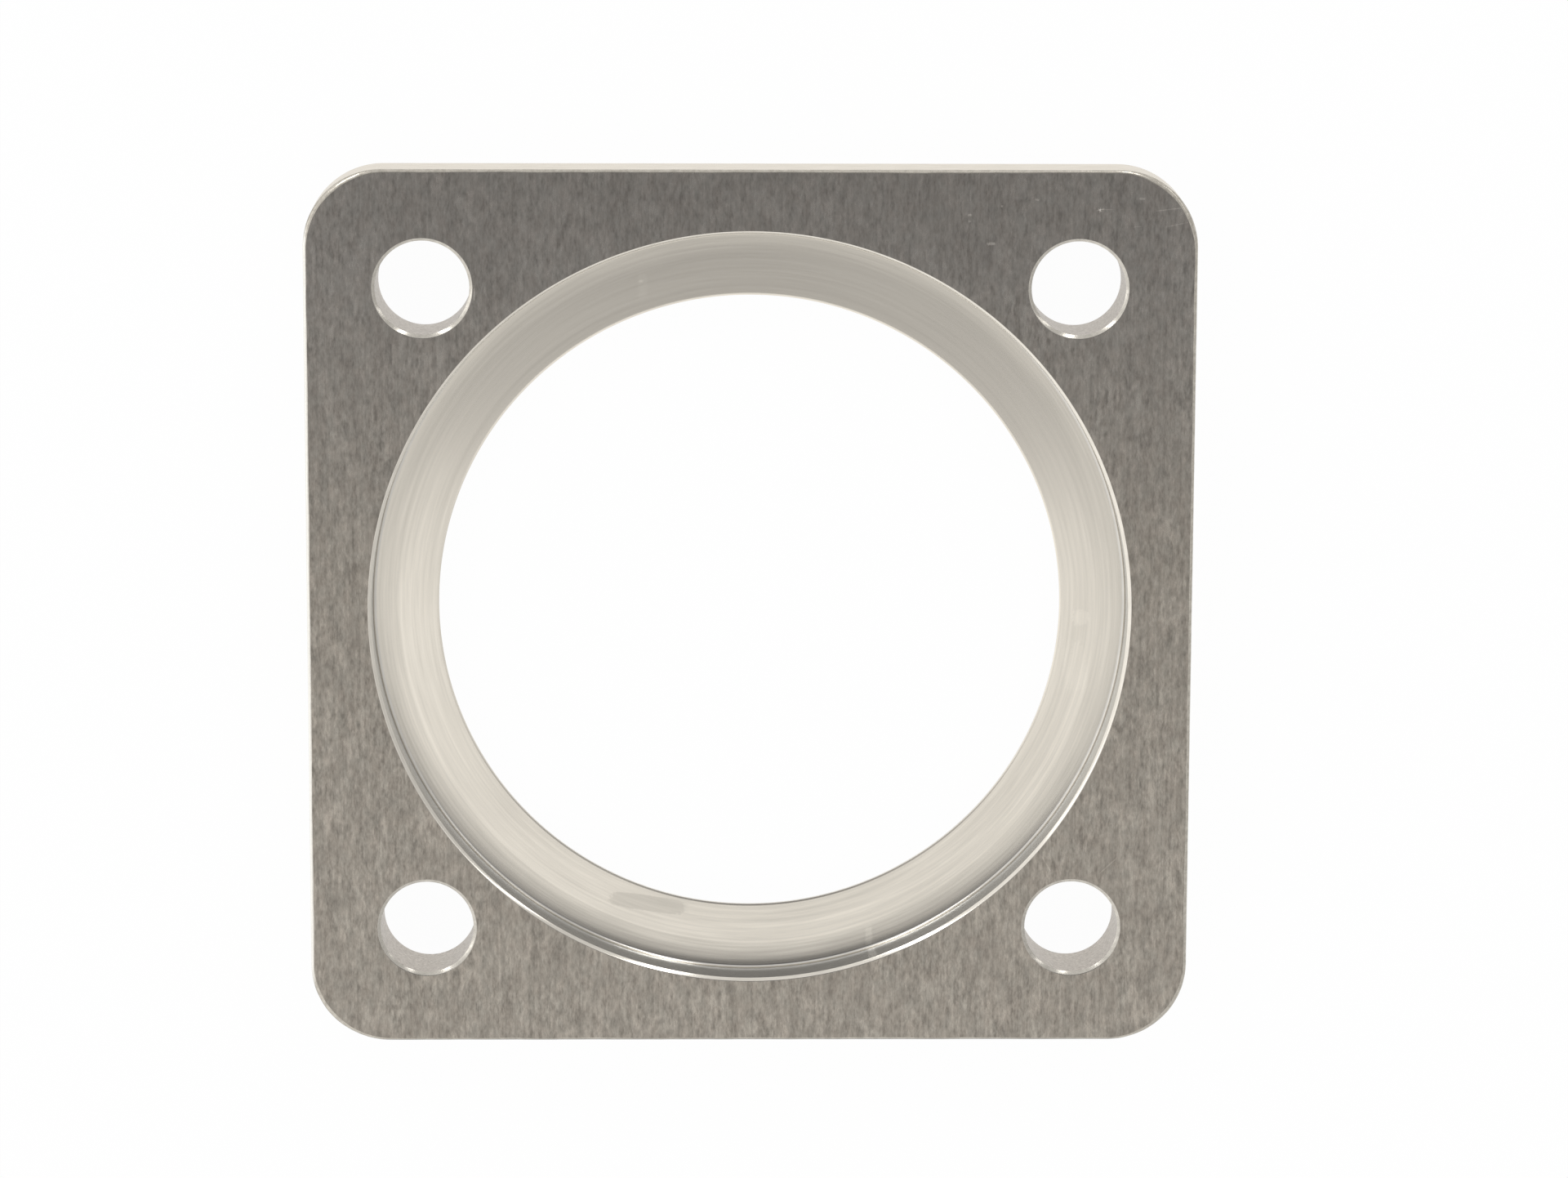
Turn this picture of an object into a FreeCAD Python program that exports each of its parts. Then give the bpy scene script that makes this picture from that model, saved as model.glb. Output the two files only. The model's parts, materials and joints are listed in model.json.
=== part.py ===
import FreeCAD
import Part
import Sketcher
import math
import os

# Square machined flange: one flat plate with rounded corners, four through holes on a square
# pattern and a stepped bore in the middle. Its outline and its bore are bevelled from behind.
# It lies flat on its back face. The origin is the middle of that face, the front face looks
# up along +Z, and X and Y run along the edges of the plate. All sizes are in millimetres.

sizes = {
    # the plate, with a small break along its front outline
    "plate_width": 85.0,
    "plate_height": 85.0,
    "plate_thickness": 7.5,
    "corner_radius": 7.5,
    "outline_break": 0.35,
    # the seat: the wide step of the bore, open to the front
    "seat_diameter": 72.7,
    "seat_depth": 4.4,
    "seat_rim_break": 0.3,
    "seat_foot_radius": 0.2,
    # the through bore in the floor of the seat, and the lip that the bevel behind leaves there
    "bore_diameter": 60.0,
    "bore_break": 0.2,
    "lip_thickness": 0.95,
    # the four fixing holes on the diagonals, and the wall between each hole and the seat
    "hole_diameter": 9.0,
    "hole_break": 0.35,
    "seat_hole_wall": 3.3,
}

doc = FreeCAD.newDocument("flange")

sheet = doc.addObject("Spreadsheet::Sheet", "Sizes")
for row, name in enumerate(sizes, start=1):
    sheet.set("A%d" % row, name)
    sheet.set("B%d" % row, str(sizes[name]))
    sheet.setAlias("B%d" % row, name)
doc.recompute()

# What follows from the sheet.
seatRadius = "Sizes.seat_diameter / 2"
boreRadius = "Sizes.bore_diameter / 2"
holeRadius = "Sizes.hole_diameter / 2"
holeOffset = "(Sizes.seat_diameter / 2 + Sizes.seat_hole_wall + Sizes.hole_diameter / 2) / sqrt(2)"
backBevel = "(Sizes.plate_thickness - Sizes.seat_depth - Sizes.lip_thickness)"

body = doc.addObject("PartDesign::Body", "FlangePlate")
body.Label = "flange_plate"
up = FreeCAD.Vector(0, 0, 1)
middle = FreeCAD.Vector(0, 0, 0)


def value(expression):
    """What an expression of the sheet comes to."""
    return float(sheet.evalExpression(expression))


def newSketch(name, role):
    """An empty sketch on the plane of the body's origin that has this role."""
    sketch = body.newObject("Sketcher::SketchObject", name)
    plane = next(f for f in body.Origin.OriginFeatures if f.Role == role)
    sketch.AttachmentSupport = [(plane, "")]
    sketch.MapMode = "FlatFace"
    return sketch


def tie(sketch, label, kind, elements, expression):
    """A driving dimension of a sketch, tied to the sheet."""
    index = sketch.addConstraint(Sketcher.Constraint(kind, *elements, value(expression)))
    sketch.renameConstraint(index, label)
    sketch.setExpression("Constraints." + label, expression)


def join(sketch, pieces):
    """The pieces of a sketch end to end, each from its end to the start of the next."""
    for before, after in zip(pieces, pieces[1:]):
        sketch.addConstraint(Sketcher.Constraint("Coincident", before, 2, after, 1))


def breakEdges(name, feature, wanted, expression):
    """A 45 degree break along the edges of the feature that pass the test."""
    edges = enumerate(feature.Shape.Edges, start=1)
    chamfer = body.newObject("PartDesign::Chamfer", name)
    chamfer.Base = (feature, ["Edge%d" % number for number, edge in edges if wanted(edge)])
    chamfer.setExpression("Size", expression)
    doc.recompute()
    return chamfer


def checkCut(before, after, tool):
    """A cut that points away from the plate removes nothing, so the volume is compared."""
    removed = before.Shape.Volume - after.Shape.Volume
    expected = before.Shape.common(tool).Volume
    if expected < 1 or abs(removed - expected) > 0.001 * expected:
        raise ValueError("%s removes %.1f, not %.1f" % (after.Name, removed, expected))


# The plate: a rectangle with equal rounded corners about the middle, raised to its thickness.
halfWidth = value("Sizes.plate_width") / 2
halfHeight = value("Sizes.plate_height") / 2
thickness = value("Sizes.plate_thickness")
corner = value("Sizes.corner_radius")
across = halfWidth - corner
along = halfHeight - corner

outline = newSketch("PlateOutline", "XY_Plane")
sides = [
    ((-across, -halfHeight), (across, -halfHeight)),
    ((halfWidth, -along), (halfWidth, along)),
    ((across, halfHeight), (-across, halfHeight)),
    ((-halfWidth, along), (-halfWidth, -along)),
]
lines = []
for start, end in sides:
    lines.append(outline.addGeometry(Part.LineSegment(FreeCAD.Vector(*start), FreeCAD.Vector(*end))))
arcs = []
quarter = math.pi / 2
for number, centre in enumerate([(across, -along), (across, along), (-across, along), (-across, -along)]):
    circle = Part.Circle(FreeCAD.Vector(*centre), up, corner)
    arcs.append(outline.addGeometry(Part.ArcOfCircle(circle, (number - 1) * quarter, number * quarter)))
for number in range(4):
    following = lines[(number + 1) % 4]
    outline.addConstraint(Sketcher.Constraint("Tangent", lines[number], 2, arcs[number], 1))
    outline.addConstraint(Sketcher.Constraint("Tangent", arcs[number], 2, following, 1))
for number in (0, 2):
    outline.addConstraint(Sketcher.Constraint("Horizontal", lines[number]))
    outline.addConstraint(Sketcher.Constraint("Vertical", lines[number + 1]))
for number in (1, 2, 3):
    outline.addConstraint(Sketcher.Constraint("Equal", arcs[0], arcs[number]))
outline.addConstraint(Sketcher.Constraint("Symmetric", lines[0], 1, lines[2], 1, -1, 1))
tie(outline, "width", "DistanceX", (lines[3], 1, lines[1], 1), "Sizes.plate_width")
tie(outline, "height", "DistanceY", (lines[0], 1, lines[2], 1), "Sizes.plate_height")
tie(outline, "corner", "Radius", (arcs[0],), "Sizes.corner_radius")

plate = body.newObject("PartDesign::Pad", "Plate")
plate.Profile = outline
plate.setExpression("Length", "Sizes.plate_thickness")
doc.recompute()


def onFront(edge):
    """Whether the edge lies in the front face."""
    return min(vertex.Z for vertex in edge.Vertexes) > thickness - 1e-6


def onBack(edge):
    """Whether the edge lies in the back face."""
    return max(vertex.Z for vertex in edge.Vertexes) < 1e-6


frontBroken = breakEdges("OutlineBreak", plate, onFront, "Sizes.outline_break")
plateBroken = breakEdges("OutlineBackBevel", frontBroken, onBack, backBevel)

# The stepped bore: half its section, from the axis outwards, turned once about the axis.
# Down the section come the broken rim, the wall of the seat, the small radius at its foot, the
# flat floor, the broken edge of the bore, its short land, and a bevel out to the back face, as
# deep as the one round the outline.
seat = value(seatRadius)
through = value(boreRadius)
rim = value("Sizes.seat_rim_break")
foot = value("Sizes.seat_foot_radius")
edgeBreak = value("Sizes.bore_break")
floor = thickness - value("Sizes.seat_depth")
landEnd = value(backBevel)

axisTop = FreeCAD.Vector(0, thickness, 0)
rimOuter = FreeCAD.Vector(seat + rim, thickness, 0)
wallTop = FreeCAD.Vector(seat, thickness - rim, 0)
wallFoot = FreeCAD.Vector(seat, floor + foot, 0)
footCentre = FreeCAD.Vector(seat - foot, floor + foot, 0)
floorOuter = FreeCAD.Vector(seat - foot, floor, 0)
floorInner = FreeCAD.Vector(through + edgeBreak, floor, 0)
landTop = FreeCAD.Vector(through, floor - edgeBreak, 0)
landFoot = FreeCAD.Vector(through, landEnd, 0)
backEdge = FreeCAD.Vector(through + landEnd, 0, 0)

section = newSketch("BoreSection", "XZ_Plane")
axisLine = section.addGeometry(Part.LineSegment(middle, axisTop))
topLine = section.addGeometry(Part.LineSegment(axisTop, rimOuter))
rimLine = section.addGeometry(Part.LineSegment(rimOuter, wallTop))
wallLine = section.addGeometry(Part.LineSegment(wallTop, wallFoot))
footArc = section.addGeometry(Part.ArcOfCircle(Part.Circle(footCentre, up, foot), -quarter, 0))
floorLine = section.addGeometry(Part.LineSegment(floorOuter, floorInner))
breakLine = section.addGeometry(Part.LineSegment(floorInner, landTop))
landLine = section.addGeometry(Part.LineSegment(landTop, landFoot))
bevelLine = section.addGeometry(Part.LineSegment(landFoot, backEdge))
backLine = section.addGeometry(Part.LineSegment(backEdge, middle))

section.addConstraint(Sketcher.Constraint("Coincident", axisLine, 1, -1, 1))
join(section, [axisLine, topLine, rimLine, wallLine])
section.addConstraint(Sketcher.Constraint("Tangent", wallLine, 2, footArc, 2))
section.addConstraint(Sketcher.Constraint("Tangent", footArc, 1, floorLine, 1))
join(section, [floorLine, breakLine, landLine, bevelLine, backLine, axisLine])
for level in (topLine, floorLine, backLine):
    section.addConstraint(Sketcher.Constraint("Horizontal", level))
for upright in (axisLine, wallLine, landLine):
    section.addConstraint(Sketcher.Constraint("Vertical", upright))
tie(section, "thickness", "DistanceY", (axisLine, 1, axisLine, 2), "Sizes.plate_thickness")
tie(section, "seat", "DistanceX", (-1, 1, rimLine, 2), seatRadius)
tie(section, "rimAcross", "DistanceX", (rimLine, 2, rimLine, 1), "Sizes.seat_rim_break")
tie(section, "rimDown", "DistanceY", (rimLine, 2, rimLine, 1), "Sizes.seat_rim_break")
tie(section, "seatDepth", "DistanceY", (floorLine, 2, axisLine, 2), "Sizes.seat_depth")
tie(section, "foot", "Radius", (footArc,), "Sizes.seat_foot_radius")
tie(section, "bore", "DistanceX", (-1, 1, landLine, 1), boreRadius)
tie(section, "breakAcross", "DistanceX", (breakLine, 2, breakLine, 1), "Sizes.bore_break")
tie(section, "breakDown", "DistanceY", (breakLine, 2, breakLine, 1), "Sizes.bore_break")
tie(section, "lip", "DistanceY", (landLine, 2, floorLine, 2), "Sizes.lip_thickness")
tie(section, "bevel", "DistanceX", (bevelLine, 1, bevelLine, 2), backBevel)
doc.recompute()

bore = body.newObject("PartDesign::Groove", "SteppedBore")
bore.Profile = section
bore.ReferenceAxis = (section, ["V_Axis"])
bore.Angle = 360
doc.recompute()
checkCut(plateBroken, bore, Part.Face(section.Shape.Wires[0]).revolve(middle, up, 360))

# The fixing holes: one through hole near a corner, repeated across and along.
offset = value(holeOffset)
holeSketch = newSketch("FixingHoleSketch", "XY_Plane")
firstCentre = FreeCAD.Vector(-offset, -offset, 0)
ring = holeSketch.addGeometry(Part.Circle(firstCentre, up, value(holeRadius)))
tie(holeSketch, "across", "DistanceX", (ring, 3, -1, 1), holeOffset)
tie(holeSketch, "along", "DistanceY", (ring, 3, -1, 1), holeOffset)
tie(holeSketch, "radius", "Radius", (ring,), holeRadius)

hole = body.newObject("PartDesign::Pocket", "FixingHole")
hole.Profile = holeSketch
hole.Type = "ThroughAll"
hole.Reversed = True
doc.recompute()

holes = body.newObject("PartDesign::LinearPattern", "FixingHoles")
holes.Originals = [hole]
holes.Direction = (holeSketch, ["H_Axis"])
holes.Direction2 = (holeSketch, ["V_Axis"])
holes.setExpression("Length", "2 * " + holeOffset)
holes.setExpression("Length2", "2 * " + holeOffset)
holes.Occurrences = 2
holes.Occurrences2 = 2
body.Tip = holes
doc.recompute()
centres = [FreeCAD.Vector(x, y, 0) for x in (-offset, offset) for y in (-offset, offset)]
drills = [Part.makeCylinder(value(holeRadius), thickness, centre) for centre in centres]
checkCut(bore, holes, Part.makeCompound(drills))


def onHole(edge):
    """Whether the edge is the mouth of a fixing hole."""
    return isinstance(edge.Curve, Part.Circle) and abs(edge.Curve.Radius - value(holeRadius)) < 1e-6


body.Tip = breakEdges("HoleBreak", holes, onHole, "Sizes.hole_break")
doc.recompute()

for thing in doc.Objects:
    if "Invalid" in thing.State or "Error" in thing.State:
        raise ValueError(thing.Name + " failed: " + str(thing.State))
if body.Shape.isNull() or not body.Shape.isValid() or len(body.Shape.Solids) != 1:
    raise ValueError(body.Label + " is not one valid solid")

box = body.Shape.BoundBox
print(body.Label, "%.2f x %.2f x %.2f mm" % (box.XLength, box.YLength, box.ZLength))
print("volume %.1f mm3, %d faces" % (body.Shape.Volume, len(body.Shape.Faces)))
print("fixing holes %.3f mm apart" % (2 * offset))

os.makedirs("parts", exist_ok=True)
body.Shape.exportStep("parts/" + body.Label + ".step")
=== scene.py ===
# A square machined flange that lies on its back face, seen from above its upper edge
import json
import math
import bmesh
import bpy
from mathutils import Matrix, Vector, noise


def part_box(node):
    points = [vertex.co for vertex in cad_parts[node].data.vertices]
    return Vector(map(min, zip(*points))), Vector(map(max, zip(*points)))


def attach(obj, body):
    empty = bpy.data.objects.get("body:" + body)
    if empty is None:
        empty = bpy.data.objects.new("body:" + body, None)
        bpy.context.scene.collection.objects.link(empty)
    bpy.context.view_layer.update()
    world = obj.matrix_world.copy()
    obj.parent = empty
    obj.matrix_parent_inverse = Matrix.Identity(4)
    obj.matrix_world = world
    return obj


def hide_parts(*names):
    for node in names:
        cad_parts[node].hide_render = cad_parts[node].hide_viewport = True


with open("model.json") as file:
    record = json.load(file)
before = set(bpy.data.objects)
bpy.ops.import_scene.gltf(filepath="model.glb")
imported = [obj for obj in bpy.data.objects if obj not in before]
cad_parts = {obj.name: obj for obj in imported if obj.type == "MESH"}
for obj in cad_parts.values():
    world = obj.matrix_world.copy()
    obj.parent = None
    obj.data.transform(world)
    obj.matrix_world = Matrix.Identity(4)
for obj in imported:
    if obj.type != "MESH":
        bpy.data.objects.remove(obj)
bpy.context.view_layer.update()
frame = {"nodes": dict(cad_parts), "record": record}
scene = bpy.context.scene
millimetre = 0.001
white = (1.0, 1.0, 1.0, 1.0)
print("frame loaded:", ", ".join(frame["nodes"]))


# small helpers for pieces and finishes
def addPiece(name, bm):
    mesh = bpy.data.meshes.new(name)
    bm.to_mesh(mesh)
    bm.free()
    piece = bpy.data.objects.new(name, mesh)
    scene.collection.objects.link(piece)
    return piece


def feed(tree, socket, value):
    if isinstance(value, bpy.types.NodeSocket):
        tree.links.new(value, socket)
    else:
        socket.default_value = value


def addNode(tree, kind, inputs=None, **settings):
    node = tree.nodes.new(kind)
    for name, value in settings.items():
        setattr(node, name, value)
    for name, value in (inputs or {}).items():
        feed(tree, node.inputs[name], value)
    return node


def calc(tree, operation, first, second=0.0):
    return addNode(tree, "ShaderNodeMath", {0: first, 1: second}, operation=operation).outputs[0]


def vectorCalc(tree, operation, first, second=(0.0, 0.0, 0.0)):
    node = addNode(tree, "ShaderNodeVectorMath", {0: first, 1: second}, operation=operation)
    return node.outputs["Value" if operation in ("LENGTH", "DOT_PRODUCT", "DISTANCE") else "Vector"]


def spread(tree, value, fromLow, fromHigh, toLow=0.0, toHigh=1.0, smooth=False):
    return addNode(tree, "ShaderNodeMapRange", {
        "Value": value, "From Min": fromLow, "From Max": fromHigh, "To Min": toLow, "To Max": toHigh,
    }, interpolation_type="SMOOTHSTEP" if smooth else "LINEAR").outputs["Result"]


def blend(tree, factor, first, second, way="MIX"):
    return addNode(
        tree, "ShaderNodeMix", {0: factor, 6: first, 7: second},
        data_type="RGBA", blend_type=way).outputs[2]


def multiply(tree, first, second):
    return blend(tree, 1.0, first, second, way="MULTIPLY")


def partsOf(tree, vector):
    return addNode(tree, "ShaderNodeSeparateXYZ", {0: vector}).outputs


def joined(tree, x, y, z):
    return addNode(tree, "ShaderNodeCombineXYZ", {"X": x, "Y": y, "Z": z}).outputs[0]


def placeInMillimetres(tree):
    where = addNode(tree, "ShaderNodeTexCoord").outputs["Object"]
    return addNode(tree, "ShaderNodeMapping", {"Vector": where, "Scale": (1 / millimetre,) * 3}).outputs[0]


noiseEnds = (0.3, 0.7)      # between these lies nearly all of a noise


def noiseValue(tree, place, stretch, shift=(0.0, 0.0, 0.0), detail=2.0, rough=0.5):
    moved = addNode(tree, "ShaderNodeMapping", {"Vector": place, "Location": shift, "Scale": stretch})
    return addNode(tree, "ShaderNodeTexNoise", {
        "Vector": moved.outputs[0], "Scale": 1.0, "Detail": detail, "Roughness": rough}).outputs["Fac"]


def mixedNoise(tree, place, layers):
    total = 0.0
    for stretch, shift, detail, rough, share in layers:
        layer = noiseValue(tree, place, stretch, shift, detail, rough)
        total = calc(tree, "ADD", total, calc(tree, "MULTIPLY", layer, share))
    return total


def newGroup(name, inputs, outputs):
    group = bpy.data.node_groups.new(name, "ShaderNodeTree")
    for label, value in inputs.items():
        kind = "NodeSocketFloat" if isinstance(value, float) else "NodeSocketVector"
        group.interface.new_socket(label, in_out="INPUT", socket_type=kind).default_value = value
    for label in outputs:
        group.interface.new_socket(label, in_out="OUTPUT", socket_type="NodeSocketFloat")
    return group


def useGroup(tree, group, **numbers):
    return addNode(tree, "ShaderNodeGroup", numbers, node_tree=group).outputs


# the flange's shape, in millimetres
low, high = [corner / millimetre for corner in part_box("flange_plate")]
mounts = {mount["name"]: mount["dims"] for mount in frame["record"]["mounts"]}

plate = {
    "cornerRadius": 7.5,
    "cornerSteps": 40,
    "sideSteps": 60,
    "edgeBreak": 0.3,
    "breakSteps": 5,
}

bore = {
    "seatRadius": mounts["seat"]["r_mm"],
    "throughRadius": mounts["through_bore"]["r_mm"],
    "seatDepth": 4.4,
    "lip": 0.95,            # the back bevel is this much narrower than the floor is thick
    "land": 0.35,           # height of the bore's upright land
    "rimBreak": 0.27,
    "breakEase": 0.05,      # rounding at the rim break's outer edge
    "easeSteps": 3,
    "footRadius": 0.30,
    "footSteps": 6,
    "footRise": 0.045,      # from the dish's edge to the foot of the wall
    "dish": [(0.6, 0.062), (1.0, 0.040), (1.5, 0.020), (2.0, 0.007), (2.5, 0.0)],   # in from the wall, rise
    "rolledOver": [(0.22, 0.0), (0.09, 0.012), (0.0, 0.05)],        # out from the bore, fall of the floor
    "flatRing": 0.6,        # plain ring left round each mouth, in the plane of the face
    "steps": 384,
}

holes = {
    "radius": mounts["fixing_holes"]["hole_r_mm"],
    "offset": mounts["fixing_holes"]["spacing_x_mm"] / 2,
    "mouthWidth": 0.27,     # break at the front
    "mouthDepth": 0.20,
    "mouthEase": 0.04,
    "easeSteps": 3,
    "moreBelow": 0.18,      # share by which the break is larger on the near side, smaller on the far one
    "backBreak": 0.35,
    "flatRing": 0.5,
    "steps": 120,
}

handBreak = {       # how unevenly the outline's front edge was broken
    "depth": 0.08,
    "depthWaves": [(0.5, (0.0, 0.0, 0.0), 1.0), (2.0, (0.0, 0.0, 0.0), 0.5)],      # scale, shift, share
    "width": 0.06,
    "widthWaves": [(0.3, (9.0, 4.0, 2.0), 1.0), (1.5, (5.0, 0.0, 8.0), 0.5)],
    "moreLeft": 0.02,
    "lessNear": 0.12,
    "moreAtCorners": 0.32,
    "mostOutwards": 0.9,    # share of the way out to the side
    "slack": 0.01,
}

limits = {
    "touching": 0.001,      # heights nearer than this are the same
    "merging": 0.0005,      # points nearer than this become one
    "level": 0.9999,        # upward part of the normal of a face that counts as level
    "dished": 0.5,          # least upward part for the seat's floor
    "sloping": 0.05,        # least upward part for a broken edge
    "upright": 0.02,        # largest upward part for the seat's wall
    "sharpAngle": 35.0,     # degrees between two faces from which their edge stays sharp
    "flatWeight": 90,       # how much the large flats lead the shading of their edges
}

floorHeight = high.z - bore["seatDepth"]
backBevel = floorHeight - bore["lip"]


def bevel(bm, geometry, offset, segments, affect):
    bmesh.ops.bevel(
        bm, geom=geometry, offset=offset, offset_type="OFFSET",
        affect=affect, segments=segments, profile=0.5, material=-1)


def isAt(edge, height):
    return all(abs(v.co.z - height) < limits["touching"] for v in edge.verts)


def roundedPlate(bm):
    bmesh.ops.create_grid(bm, x_segments=1, y_segments=1, size=0.5)
    bmesh.ops.scale(bm, vec=(high.x - low.x, high.y - low.y, 1.0), verts=bm.verts)
    bevel(bm, bm.verts[:], plate["cornerRadius"], plate["cornerSteps"], "VERTICES")
    longEdges = [e for e in bm.edges if e.calc_length() > high.x]
    bmesh.ops.subdivide_edges(bm, edges=longEdges, cuts=plate["sideSteps"])
    grown = bmesh.ops.extrude_face_region(bm, geom=bm.faces[:])["geom"]
    lifted = [g for g in grown if isinstance(g, bmesh.types.BMVert)]
    bmesh.ops.translate(bm, vec=(0.0, 0.0, high.z), verts=lifted)
    bmesh.ops.recalc_face_normals(bm, faces=bm.faces[:])
    for height, offset, steps in ((high.z, plate["edgeBreak"], plate["breakSteps"]), (0.0, backBevel, 1)):
        bevel(bm, [e for e in bm.edges if isAt(e, height)], offset, steps, "EDGES")
    flats = [f for f in bm.faces if abs(f.normal.z) > limits["level"]]
    bmesh.ops.delete(bm, geom=flats, context="FACES_ONLY")


def turnedRing(bm, path, breaks, centre, steps):
    before = set(bm.verts)
    line = [bm.verts.new((centre[0] + radius, centre[1], height)) for radius, height in path]
    for pair in zip(line, line[1:]):
        bm.edges.new(pair)
    for index, size, segments in breaks:
        bevel(bm, [line[index]], size, segments, "VERTICES")
    line = [v for v in bm.verts if v not in before]
    wires = list(dict.fromkeys(e for v in line for e in v.link_edges))
    bmesh.ops.spin(
        bm, geom=line + wires, cent=(centre[0], centre[1], 0.0), axis=(0.0, 0.0, 1.0),
        angle=math.tau, steps=steps, use_merge=True)


def steppedBore(bm):
    top, floor, ring = high.z, floorHeight, bore["flatRing"]
    seat, through, rim = bore["seatRadius"], bore["throughRadius"], bore["rimBreak"]
    foot = floor + bore["dish"][0][1] + bore["footRise"]
    path = [(seat + ring, top), (seat + rim, top), (seat, top - rim), (seat, foot)]
    path += [(seat - inwards, floor + rise) for inwards, rise in bore["dish"]]
    path += [(through + outwards, floor - fall) for outwards, fall in bore["rolledOver"]]
    path += [(through, floor - bore["land"])]
    path += [(through + backBevel, 0.0), (through + backBevel + ring, 0.0)]
    breaks = [(1, bore["breakEase"], bore["easeSteps"]), (3, bore["footRadius"], bore["footSteps"])]
    turnedRing(bm, path, breaks, (0.0, 0.0), bore["steps"])


def fixingHole(bm, centre):
    top, radius, ring = high.z, holes["radius"], holes["flatRing"]
    width, depth, under = holes["mouthWidth"], holes["mouthDepth"], holes["backBreak"]
    path = [(radius + ring, top), (radius + width, top), (radius, top - depth)]
    path += [(radius, under), (radius + under, 0.0), (radius + ring, 0.0)]
    turnedRing(bm, path, [(1, holes["mouthEase"], holes["easeSteps"])], centre, holes["steps"])
    middle = Vector(centre).to_3d()
    for v in bm.verts:      # the break is larger on the near side than on the far one
        out, below = (v.co - middle).xy, top - v.co.z
        if below < depth + limits["touching"] and out.length < radius + (width + ring) / 2:
            size = 1.0 - holes["moreBelow"] * out.y / out.length
            away = out.normalized() * (radius + (out.length - radius) * size)
            v.co = middle + Vector((away.x, away.y, top - below * size))


def closeFlat(bm, height, up):
    rims = [e for e in bm.edges if e.is_boundary and isAt(e, height)]
    bmesh.ops.triangle_fill(bm, edges=rims, use_beauty=True, normal=(0.0, 0.0, up))


def fromCore(spot):     # level way from the square between the corners' centres out to a point
    core = high.x - plate["cornerRadius"]
    return spot - Vector((min(max(spot.x, -core), core), min(max(spot.y, -core), core), spot.z))


def waves(spot, layers):
    return sum(share * noise.noise(spot * scale + Vector(shift)) for scale, shift, share in layers)


def unevenBreaks(bm):       # the outline's front edge was broken by hand, a little more here and there
    reach = plate["edgeBreak"]
    for v in bm.verts:
        below = high.z - v.co.z
        away = fromCore(v.co)
        inwards = plate["cornerRadius"] - away.length
        away.normalize()
        if max(below, inwards) > reach + handBreak["slack"]:
            continue
        wave = waves(v.co, handBreak["depthWaves"])
        shift = waves(v.co, handBreak["widthWaves"]) * handBreak["width"]
        shift += handBreak["moreLeft"] * min(away.x, 0.0) - handBreak["lessNear"] * min(away.y, 0.0)
        shift -= handBreak["moreAtCorners"] * abs(away.x * away.y)
        shift *= max(1.0 - below / reach, 0.0)
        v.co += away * min(shift, inwards * handBreak["mostOutwards"])
        v.co.z += wave * handBreak["depth"] * min(below / reach, 1.0)


finishes = [
    "rolledFace", "turnedFloor", "turnedWall", "boreEdge", "turnedEdge", "turnedFootShaded", "brokenEdge",
    "filedEdge", "milledSide", "drilledWall"]


def finishOf(face):
    spot, up = face.calc_center_median(), face.normal.z
    fromAxis = math.hypot(spot.x, spot.y)
    fromHole = math.hypot(abs(spot.x) - holes["offset"], abs(spot.y) - holes["offset"])
    if abs(up) > limits["level"]:
        return "turnedFloor" if abs(spot.z - floorHeight) < bore["lip"] else "rolledFace"
    if fromAxis < bore["seatRadius"] - bore["footRadius"] and up > limits["dished"]:
        return "turnedFloor"
    if fromAxis < bore["seatRadius"] + bore["flatRing"]:
        if spot.z < floorHeight:
            return "boreEdge"
        if abs(up) < limits["upright"]:
            return "turnedWall"
        return "turnedEdge" if spot.z > (floorHeight + high.z) / 2 else "turnedFootShaded"
    if fromHole < holes["radius"] + holes["flatRing"]:
        return "brokenEdge" if abs(up) > limits["sloping"] else "drilledWall"
    return "filedEdge" if up > limits["sloping"] else "milledSide"


def buildFlange():
    bm = bmesh.new()
    roundedPlate(bm)
    steppedBore(bm)
    for x in (-holes["offset"], holes["offset"]):
        for y in (-holes["offset"], holes["offset"]):
            fixingHole(bm, (x, y))
    unevenBreaks(bm)
    closeFlat(bm, high.z, 1.0)
    closeFlat(bm, 0.0, -1.0)
    bmesh.ops.remove_doubles(bm, verts=bm.verts, dist=limits["merging"])
    bmesh.ops.recalc_face_normals(bm, faces=bm.faces[:])
    for face in bm.faces:
        face.smooth = True
        face.material_index = finishes.index(finishOf(face))
    for edge in bm.edges:
        sides = {face.material_index for face in edge.link_faces}
        edge.smooth = len(sides) == 1 and edge.calc_face_angle(0.0) < math.radians(limits["sharpAngle"])
    loose = [e for e in bm.edges if len(e.link_faces) != 2]
    print("flange:", len(bm.faces), "faces,", len(loose), "open edges,",
          round(bm.calc_volume(), 1), "cubic millimetres")
    bmesh.ops.scale(bm, vec=(millimetre,) * 3, verts=bm.verts)
    piece = addPiece("flangePlateBody", bm)
    even = piece.modifiers.new("evenNormals", "WEIGHTED_NORMAL")    # flats stay flat beside the breaks
    even.mode, even.weight, even.keep_sharp = "FACE_AREA", limits["flatWeight"], True
    return piece


flange = buildFlange()
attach(flange, "root")
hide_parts("flange_plate")


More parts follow.
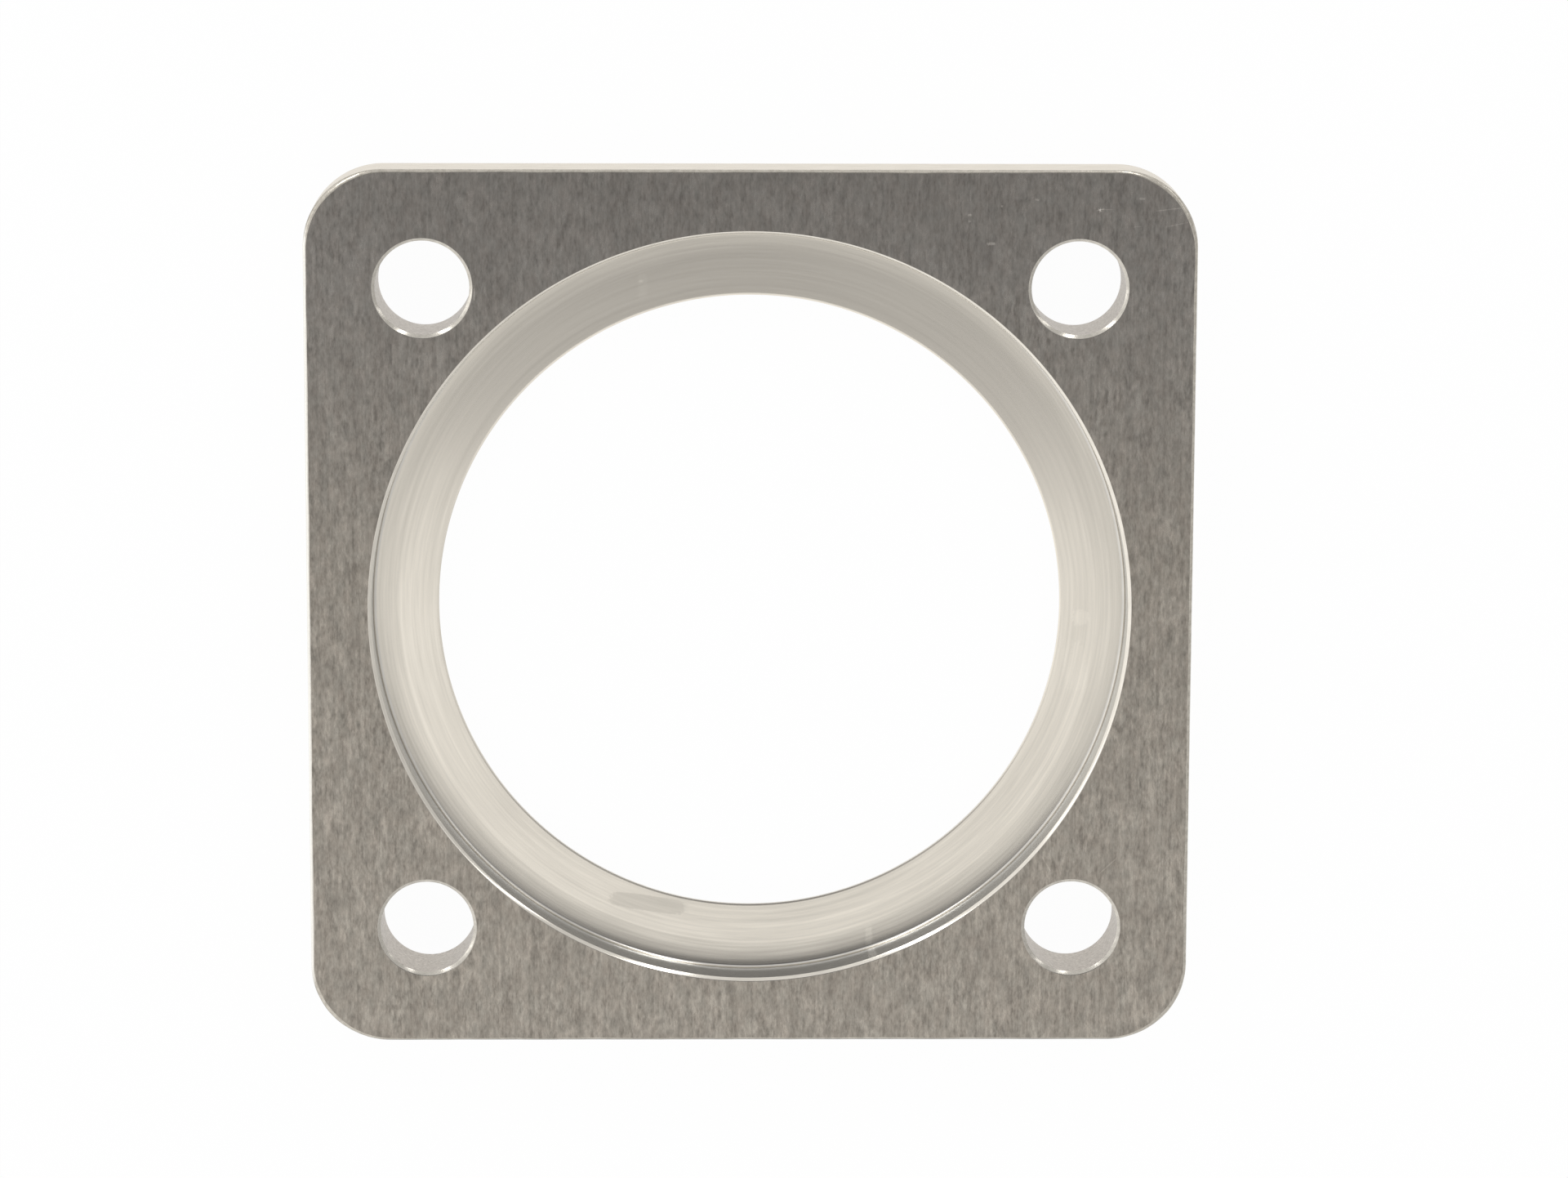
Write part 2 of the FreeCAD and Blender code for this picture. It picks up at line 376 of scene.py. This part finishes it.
# effects that more than one finish uses
streaks = {
    "layers": [         # of noise: stretch, shift, detail, roughness, share
        ((2.8, 1.0, 1.0), (0.0, 0.0, 0.0), 3.0, 0.62, 0.52),
        ((8.5, 2.4, 1.0), (7.0, 3.0, 0.0), 1.0, 0.50, 0.16),
        ((1.1, 0.45, 1.0), (3.0, 9.0, 0.0), 2.0, 0.50, 0.18),
        ((4.5, 0.10, 1.0), (1.0, 6.0, 0.0), 1.0, 0.50, 0.14),
    ],
    "patches": (0.35, 0.22, 0.3),
    "weakPatch": 0.75,          # how strong the streaks are from patch to patch
    "strongPatch": 1.25,
    "patchShade": 0.10,
    "swing": 0.14,              # change of the noise that gives full shade
    "tint": (1.3, 0.7, 1.0),
    "tintShift": (2.0, 5.0, 8.0),
}

turning = {
    "layers": [         # of noise, given the same way
        ((1.0, 1.0, 1.0), (0.0, 0.0, 0.0), 2.0, 0.55, 0.45),            # rings
        ((1.6, 6.0, 6.0), (11.0, 2.0, 5.0), 2.0, 0.60, 0.25),           # short arcs
        ((0.25, 2.5, 2.5), (4.0, 8.0, 1.0), 2.0, 0.50, 0.30),           # soft clouds
    ],
    "swing": 0.14,
}

markEdge = {
    "inner": 0.97,
    "softer": 0.35,         # how far a ragged edge fades inwards
    "outer": 1.05,
    "grain": (5.0, 5.0, 5.0),
}


def makeStreakGrain():      # short streaks along the plate's height, as rolled stock has
    group = newGroup("streakGrain", {}, ["Shade", "Height", "Tint"])
    place = placeInMillimetres(group)
    mixed = mixedNoise(group, place, streaks["layers"])
    patches = noiseValue(group, place, streaks["patches"])
    strength = spread(group, patches, *noiseEnds, streaks["weakPatch"], streaks["strongPatch"])
    change = calc(group, "MULTIPLY", calc(group, "SUBTRACT", mixed, 0.5), strength)
    patchChange = calc(group, "MULTIPLY", calc(group, "SUBTRACT", patches, 0.5), streaks["patchShade"])
    change = calc(group, "ADD", change, patchChange)
    tint = noiseValue(group, place, streaks["tint"], streaks["tintShift"])
    addNode(group, "NodeGroupOutput", {
        "Shade": spread(group, change, -streaks["swing"], streaks["swing"]),
        "Height": mixed,
        "Tint": spread(group, tint, *noiseEnds)})
    return group


def makeTurningMarks():     # rings round the bore's axis, each fading out along its arc
    group = newGroup("turningMarks", {"Rings": 3.0, "Arcs": 1.2}, ["Shade", "Height", "Radius"])
    given = addNode(group, "NodeGroupInput").outputs
    x, y, z = partsOf(group, placeInMillimetres(group))
    level = joined(group, x, y, 0.0)
    radius = vectorCalc(group, "LENGTH", level)
    turn = partsOf(group, vectorCalc(group, "NORMALIZE", level))
    place = joined(
        group,
        calc(group, "MULTIPLY", calc(group, "ADD", radius, z), given["Rings"]),
        calc(group, "MULTIPLY", turn[0], given["Arcs"]),
        calc(group, "MULTIPLY", turn[1], given["Arcs"]))
    mixed = mixedNoise(group, place, turning["layers"])
    addNode(group, "NodeGroupOutput", {
        "Shade": spread(group, mixed, 0.5 - turning["swing"], 0.5 + turning["swing"]),
        "Height": mixed,
        "Radius": radius})
    return group


def makeMark():     # a long or round spot with a slightly ragged edge
    inputs = {"Centre": (0.0, 0.0, 0.0), "Size": (1.0, 1.0, 1.0), "Turn": 0.0, "Ragged": 0.0}
    group = newGroup("mark", inputs, ["Mask"])
    given = addNode(group, "NodeGroupInput").outputs
    place = placeInMillimetres(group)
    apart = vectorCalc(group, "SUBTRACT", place, given["Centre"])
    along = addNode(group, "ShaderNodeVectorRotate", {
        "Vector": apart, "Angle": given["Turn"]}, rotation_type="Z_AXIS").outputs[0]
    share = vectorCalc(group, "DIVIDE", along, given["Size"])
    reach = calc(group, "SQRT", vectorCalc(group, "LENGTH", vectorCalc(group, "MULTIPLY", share, share)))
    uneven = calc(group, "SUBTRACT", noiseValue(group, place, markEdge["grain"]), 0.5)
    reach = calc(group, "ADD", reach, calc(group, "MULTIPLY", uneven, given["Ragged"]))
    softer = calc(group, "MULTIPLY", given["Ragged"], markEdge["softer"])
    inner = calc(group, "SUBTRACT", markEdge["inner"], softer)
    mask = spread(group, reach, inner, markEdge["outer"], 1.0, 0.0, smooth=True)
    addNode(group, "NodeGroupOutput", {"Mask": mask})
    return group


streakGrain = makeStreakGrain()
turningMarks = makeTurningMarks()
mark = makeMark()
print("finish groups made")


# the finishes
def startFinish(name):
    material = bpy.data.materials.new(name)
    material.use_nodes = True
    tree = material.node_tree
    shader = tree.nodes["Principled BSDF"]
    shader.inputs["Metallic"].default_value = 1.0
    return material, tree, shader


def finishWith(tree, shader, colour, roughness, height, bump, bumpDepth):
    normal = addNode(tree, "ShaderNodeBump", {"Height": height, "Strength": bump, "Distance": bumpDepth})
    tree.links.new(colour, shader.inputs["Base Color"])
    tree.links.new(roughness, shader.inputs["Roughness"])
    tree.links.new(normal.outputs[0], shader.inputs["Normal"])


raggedness = {"scratches": 0.9, "specks": 0.9, "smudges": 0.3, "spots": 0.9, "nick": 0.9}

# marks: centre in millimetres, half length, half width, turn in degrees, change of brightness
faceMarks = {
    "scratches": [
        ((39.66, 38.79), 1.40, 0.05, 6.7, 0.38),
        ((40.38, 37.33), 1.15, 0.05, 11.7, 0.31),
        ((36.70, 37.15), 0.42, 0.05, 5.8, 0.31),
        ((33.88, 38.79), 0.60, 0.05, 0.9, 0.34),
        ((32.65, 36.25), 0.05, 0.40, 0.0, 0.29),
        ((-26.26, 30.72), 0.06, 0.75, 0.0, 0.84),
        ((33.15, 38.76), 0.36, 0.05, 14.0, 0.80),
        ((33.12, 38.74), 0.05, 0.26, -8.0, 0.80),
        ((33.10, 38.72), 0.24, 0.05, -42.0, 0.70),
        ((34.80, -25.10), 1.20, 0.08, 43.0, 0.30),
        ((28.80, -25.00), 1.00, 0.07, -60.0, 0.22),
    ],
    "specks": [
        ((37.12, 39.82), 0.30, 0.12, 0.0, 0.38),
        ((20.75, 38.24), 0.20, 0.12, 0.0, 0.58),
        ((20.76, 37.64), 0.16, 0.10, 0.0, 0.48),
        ((23.80, 39.07), 0.12, 0.10, 0.0, 0.72),
        ((22.79, 35.50), 0.44, 0.15, 5.3, 0.67),
        ((27.13, 39.71), 0.20, 0.10, -14.0, 0.43),
    ],
}

floorMarks = {
    "smudges": [
        ((-9.88, -29.91), 3.85, 0.80, -8.5, -0.15),
    ],
    "spots": [
        ((32.10, -1.50), 0.90, 0.80, 0.0, 0.07),
        ((31.60, -6.20), 1.30, 2.80, 8.0, 0.04),
        ((-10.30, 30.90), 0.50, 1.40, 0.0, 0.04),
        ((-10.45, 31.30), 0.24, 0.14, 0.0, 0.12),
        # painted highlight: the next spot is a radial streak of reflected light by the wall's foot
        ((11.75, -33.90), 0.36, 1.90, 0.0, 0.11),
    ],
}

# painted highlight: a narrow streak of reflected light on the seat's wall
seatWallPaintedStreak = {
    "spots": [((12.00, -34.31), 0.45, 1.50, 0.0, 0.40)],
}

holeMarks = {
    "nick": [((-27.80, 28.45), 0.24, 0.13, -39.0, -0.5)],
}

nickDepth = 0.7         # of the nick's middle below the front face


def applyMarks(tree, colour, marks, height, tall=1.0):
    for kind, places in marks.items():
        for (x, y), length, width, turn, change in places:
            spot = useGroup(
                tree, mark, Centre=(x, y, height), Size=(length, width, tall),
                Turn=-math.radians(turn), Ragged=raggedness[kind])
            changed = multiply(tree, colour, (1.0 + change, 1.0 + change, 1.0 + change, 1.0))
            colour = blend(tree, spot["Mask"], colour, changed)
    return colour


rolled = {
    "dark": (0.218, 0.198, 0.171, 1.0),
    "light": (0.450, 0.411, 0.356, 1.0),
    "warm": (1.012, 0.997, 0.990, 1.0),
    "cool": (0.990, 1.002, 1.005, 1.0),
    "near": (1.004, 0.998, 0.993, 1.0),
    "far": (0.915, 0.933, 0.977, 1.0),      # painted shade: the face is painted darker and greyer towards its upper edge
    "farFrom": 4.0,
    "farTo": 33.0,
    "roughDark": 0.33,
    "roughLight": 0.26,
    "bump": 0.3,
    "bumpDepth": 0.00001,
}


def makeRolledFace():
    material, tree, shader = startFinish("rolledFace")
    grain = useGroup(tree, streakGrain)
    colour = blend(tree, grain["Shade"], rolled["dark"], rolled["light"])
    colour = multiply(tree, colour, blend(tree, grain["Tint"], rolled["warm"], rolled["cool"]))
    along = partsOf(tree, placeInMillimetres(tree))["Y"]
    # painted shade, darker and greyer towards the face's upper edge
    shadeTowardTop = spread(tree, along, rolled["farFrom"], rolled["farTo"])
    colour = multiply(tree, colour, blend(tree, shadeTowardTop, rolled["near"], rolled["far"]))
    colour = applyMarks(tree, colour, faceMarks, high.z)
    roughness = spread(tree, grain["Shade"], 0.0, 1.0, rolled["roughDark"], rolled["roughLight"])
    finishWith(tree, shader, colour, roughness, grain["Height"], rolled["bump"], rolled["bumpDepth"])
    return material


turned = {
    "turnedFloor": {
        "dark": (0.724, 0.678, 0.597, 1.0), "light": (0.850, 0.796, 0.701, 1.0),
        "rough": 0.21, "rings": 2.7, "arcs": 1.1},
    "turnedWall": {
        "dark": (0.614, 0.625, 0.630, 1.0), "light": (0.755, 0.770, 0.776, 1.0),
        "rough": 0.14, "rings": 2.2, "arcs": 2.5},
    "boreEdge": {
        "dark": (0.760, 0.728, 0.674, 1.0), "light": (0.880, 0.845, 0.780, 1.0),
        "rough": 0.3, "rings": 2.2, "arcs": 2.5},
}

turnedAlike = {         # the same for all of them
    "roughSwing": 0.1,
    "stretch": 0.8,
    "stretchTurn": 0.25,        # a quarter turn
    "bump": 0.3,
    "bumpDepth": 0.000006,
}

# the seat's floor from its edge outwards: radius in millimetres, brightness; the rings near the bore and
# the step near 34 mm are tool passes, the darkening towards the wall's foot is painted shade
floorToneAndShade = [
    (30.62, 1.0), (30.8, 0.99), (31.0, 0.95), (31.25, 1.0),
    (33.8, 1.0), (33.98, 0.95), (34.6, 0.93), (35.4, 0.90), (36.1, 0.86),
]


def ringToneAndShade(tree, fromAxis):
    first, last = floorToneAndShade[0][0], floorToneAndShade[-1][0]
    ramp = addNode(tree, "ShaderNodeValToRGB", {0: spread(tree, fromAxis, first, last)})
    stops = ramp.color_ramp.elements
    stops.remove(stops[-1])
    for radius, level in floorToneAndShade:
        share = (radius - first) / (last - first)
        stop = stops.new(share) if share else stops[0]
        stop.color = (level, level, level, 1.0)
    return ramp.outputs[0]


def makeTurned(name):
    finish = turned[name]
    material, tree, shader = startFinish(name)
    marks = useGroup(tree, turningMarks, Rings=finish["rings"], Arcs=finish["arcs"])
    colour = blend(tree, marks["Shade"], finish["dark"], finish["light"])
    if name == "turnedFloor":
        # tool rings, with painted shade towards the wall's foot
        colour = multiply(tree, colour, ringToneAndShade(tree, marks["Radius"]))
        colour = applyMarks(tree, colour, floorMarks, floorHeight)
    if name == "turnedWall":
        middle = (floorHeight + high.z) / 2
        colour = applyMarks(tree, colour, seatWallPaintedStreak, middle, tall=high.z - middle)
    rougher, smoother = [finish["rough"] * (1.0 + side * turnedAlike["roughSwing"]) for side in (1, -1)]
    roughness = spread(tree, marks["Shade"], 0.0, 1.0, rougher, smoother)
    shader.inputs["Anisotropic"].default_value = turnedAlike["stretch"]
    shader.inputs["Anisotropic Rotation"].default_value = turnedAlike["stretchTurn"]
    tangent = addNode(tree, "ShaderNodeTangent", direction_type="RADIAL", axis="Z")
    tree.links.new(tangent.outputs[0], shader.inputs["Tangent"])
    finishWith(
        tree, shader, colour, roughness, marks["Height"], turnedAlike["bump"], turnedAlike["bumpDepth"])
    return material


cut = {         # milled, drilled, filed and broken surfaces
    "turnedEdge": {
        "dark": (0.680, 0.641, 0.573, 1.0), "light": (0.760, 0.718, 0.644, 1.0),
        "rough": 0.13, "stretch": (0.6, 0.6, 6.0), "bump": 0.04},
    # painted shade: the rim's turned finish, painted darker for the foot fillet in the corner
    "turnedFootShaded": {
        "dark": (0.560, 0.536, 0.494, 1.0), "light": (0.610, 0.584, 0.538, 1.0),
        "rough": 0.15, "stretch": (0.6, 0.6, 6.0), "bump": 0.04},
    "brokenEdge": {
        "dark": (0.468, 0.441, 0.395, 1.0), "light": (0.569, 0.538, 0.482, 1.0),
        "rough": 0.20, "stretch": (2.5, 2.5, 2.5), "bump": 0.35},
    "filedEdge": {
        "dark": (0.420, 0.390, 0.340, 1.0), "light": (0.560, 0.523, 0.460, 1.0),
        "rough": 0.24, "stretch": (2.0, 2.0, 2.0), "bump": 0.35},
    "milledSide": {
        "dark": (0.660, 0.600, 0.500, 1.0), "light": (0.800, 0.730, 0.612, 1.0),
        "rough": 0.32, "stretch": (0.35, 0.35, 5.0), "bump": 0.2},
    "drilledWall": {
        "dark": (0.412, 0.375, 0.330, 1.0), "light": (0.577, 0.526, 0.463, 1.0),
        "rough": 0.40, "stretch": (3.5, 3.5, 6.0), "bump": 0.35},
}

cutAlike = {
    "detail": 3.0,
    "grainRough": 0.65,
    "swing": 0.15,
    "roughSwing": 0.2,
    "bumpDepth": 0.00002,
}

filed = {       # painted light and shade on the outline's break, and how far in from the side they reach
    "paintedLight": (0.950, 0.930, 0.880, 1.0),       # painted highlight at the left
    "lightFrom": 0.4,
    "lightTo": 0.05,
    "paintedShade": (0.300, 0.290, 0.270, 1.0),         # painted shade on the lower half of the near edge
    "shadeFrom": 0.16,
    "shadeTo": 0.04,
}


def makeCut(name):
    finish = cut[name]
    material, tree, shader = startFinish(name)
    place = placeInMillimetres(tree)
    marks = noiseValue(
        tree, place, finish["stretch"], detail=cutAlike["detail"], rough=cutAlike["grainRough"])
    shade = spread(tree, marks, 0.5 - cutAlike["swing"], 0.5 + cutAlike["swing"])
    colour = blend(tree, shade, finish["dark"], finish["light"])
    if name == "drilledWall":
        colour = applyMarks(tree, colour, holeMarks, high.z - nickDepth)
    if name == "filedEdge":
        spot = partsOf(tree, place)
        # a painted highlight along the left side and painted shade along the near edge's lower half
        litAtLeft = spread(tree, spot["X"], low.x + filed["lightFrom"], low.x + filed["lightTo"])
        colour = blend(tree, litAtLeft, colour, filed["paintedLight"])
        shadedAtBottom = spread(tree, spot["Y"], low.y + filed["shadeFrom"], low.y + filed["shadeTo"])
        colour = blend(tree, shadedAtBottom, colour, filed["paintedShade"])
    rougher, smoother = [finish["rough"] * (1.0 + side * cutAlike["roughSwing"]) for side in (1, -1)]
    roughness = spread(tree, marks, *noiseEnds, rougher, smoother)
    finishWith(tree, shader, colour, roughness, marks, finish["bump"], cutAlike["bumpDepth"])
    return material


for name in finishes:
    if name in turned:
        material = makeTurned(name)
    elif name in cut:
        material = makeCut(name)
    else:
        material = makeRolledFace()
    flange.data.materials.append(material)
print("finishes made:", len(finishes))


# camera, as the photograph was taken
view = {
    "location": (-0.00615, 0.10464, 0.54619),
    "turn": (-10.773, -0.963, 0.197),       # degrees
    "lens": 131.25,
    "sensor": 36.0,
    "nearest": 0.01,
    "farthest": 20.0,
}


def makeCamera():
    data = bpy.data.cameras.new("viewCamera")
    data.lens, data.sensor_width = view["lens"], view["sensor"]
    data.clip_start, data.clip_end = view["nearest"], view["farthest"]
    camera = bpy.data.objects.new("viewCamera", data)
    camera.location = view["location"]
    camera.rotation_euler = [math.radians(angle) for angle in view["turn"]]
    scene.collection.objects.link(camera)
    scene.camera = camera


makeCamera()


# pale floor and soft light
studio = {
    "floorSize": 3.0,
    "floorDrop": 0.00003,
    "floorWhite": 0.97,             # how much of the floor's white doesn't depend on the light
    "paper": (0.86, 0.86, 0.86, 1.0),
    "lean": (-0.25, -0.12, 0.0),    # change of the room's light to the right and to the top of the picture
    "level": 0.97,
    "card": (1.0, 0.998, 1.02, 1.0),        # the grey card that the camera looks through
    "cardRadius": 0.222,
    "cardSteps": 96,
    "cardShift": (0.016, 0.012, 0.0),
    "cardSoft": 0.012,
    "cardGrey": 0.355,
    "lensGrey": 0.16,                       # and the darker lens in its middle
    "lensInner": 0.05,
    "lensOuter": 0.12,
    "lampHeight": 22.0,                     # degrees above the plate
    "lampAway": 0.5,
    "lampTall": 0.28,
    "lamps": [                              # degrees round the plate, width, strength
        (37.0, 0.04, 0.07), (72.0, 0.06, 0.26), (123.0, 0.06, 0.26), (168.0, 0.07, 0.06)],
}


def emptied(tree, outKind):
    tree.nodes.clear()
    return addNode(tree, outKind).inputs["Surface"]


def stagePiece(name, materialName, bm):
    piece = addPiece(name, bm)
    material = bpy.data.materials.new(materialName)
    material.use_nodes = True
    piece.data.materials.append(material)
    return piece, material.node_tree, emptied(material.node_tree, "ShaderNodeOutputMaterial")


def makeFloor():
    bm = bmesh.new()
    bmesh.ops.create_grid(bm, x_segments=1, y_segments=1, size=studio["floorSize"] / 2)
    bmesh.ops.translate(bm, vec=(0.0, 0.0, -studio["floorDrop"]), verts=bm.verts)
    floor, tree, surface = stagePiece("paleFloor", "palePaper", bm)
    paper = addNode(tree, "ShaderNodeBsdfDiffuse", {"Color": studio["paper"]})
    glow = addNode(tree, "ShaderNodeEmission", {"Color": white, "Strength": 1.0})
    path = addNode(tree, "ShaderNodeLightPath").outputs
    seen = calc(tree, "MAXIMUM", path["Is Camera Ray"], path["Is Glossy Ray"])
    seen = calc(tree, "MAXIMUM", seen, path["Is Transmission Ray"])
    share = calc(tree, "MULTIPLY", seen, studio["floorWhite"])
    mix = addNode(tree, "ShaderNodeMixShader", {0: share, 1: paper.outputs[0], 2: glow.outputs[0]})
    tree.links.new(mix.outputs[0], surface)


def makeCard():         # seen only in the metal, and dims what faces the camera
    middle = Vector(view["location"]) + Vector(studio["cardShift"])
    radius, soft = studio["cardRadius"], studio["cardSoft"]
    bm = bmesh.new()
    bmesh.ops.create_circle(bm, cap_ends=True, segments=studio["cardSteps"], radius=radius + soft)
    bmesh.ops.rotate(bm, matrix=middle.to_track_quat("Z", "Y").to_matrix(), verts=bm.verts)
    bmesh.ops.translate(bm, vec=middle, verts=bm.verts)
    card, tree, surface = stagePiece("greyCard", "greyCard", bm)
    card.visible_camera = False
    where = addNode(tree, "ShaderNodeTexCoord").outputs["Object"]
    fromMiddle = vectorCalc(tree, "DISTANCE", where, tuple(middle))
    edge = spread(tree, fromMiddle, radius - soft, radius + soft, smooth=True)
    fromLens = vectorCalc(tree, "DISTANCE", where, view["location"])
    level = spread(tree, fromLens, studio["lensInner"], studio["lensOuter"],
                   studio["lensGrey"], studio["cardGrey"], smooth=True)
    grey = addNode(tree, "ShaderNodeEmission", {"Color": studio["card"], "Strength": level})
    clear = addNode(tree, "ShaderNodeBsdfTransparent")
    mix = addNode(tree, "ShaderNodeMixShader", {0: edge, 1: grey.outputs[0], 2: clear.outputs[0]})
    tree.links.new(mix.outputs[0], surface)


def makeWorld():
    world = bpy.data.worlds.new("studioRoom")
    scene.world = world
    world.use_nodes = True
    tree = world.node_tree
    surface = emptied(tree, "ShaderNodeOutputWorld")
    way = vectorCalc(tree, "NORMALIZE", addNode(tree, "ShaderNodeTexCoord").outputs["Generated"])
    leaning = vectorCalc(tree, "DOT_PRODUCT", way, studio["lean"])
    strength = calc(tree, "MULTIPLY", calc(tree, "ADD", leaning, 1.0), studio["level"])
    room = addNode(tree, "ShaderNodeBackground", {"Color": white, "Strength": strength})
    ground = addNode(tree, "ShaderNodeBackground", {"Color": white, "Strength": 1.0})
    seen = addNode(tree, "ShaderNodeLightPath").outputs["Is Camera Ray"]
    mix = addNode(tree, "ShaderNodeMixShader", {0: seen, 1: room.outputs[0], 2: ground.outputs[0]})
    tree.links.new(mix.outputs[0], surface)


def makeLamps():
    rise = math.radians(studio["lampHeight"])
    for number, (degrees, width, power) in enumerate(studio["lamps"]):
        data = bpy.data.lights.new("softbox%d" % number, "AREA")
        data.shape, data.size, data.size_y = "RECTANGLE", width, studio["lampTall"]
        data.energy = power
        lamp = bpy.data.objects.new("softbox%d" % number, data)
        turn = math.radians(degrees)
        way = Vector((math.cos(turn) * math.cos(rise), math.sin(turn) * math.cos(rise), math.sin(rise)))
        lamp.location = way * studio["lampAway"]
        lamp.rotation_euler = (-lamp.location).to_track_quat("-Z", "Z").to_euler()
        scene.collection.objects.link(lamp)


makeFloor()
makeCard()
makeWorld()
makeLamps()
scene.view_settings.view_transform = "Standard"
print("camera, floor and light ready")
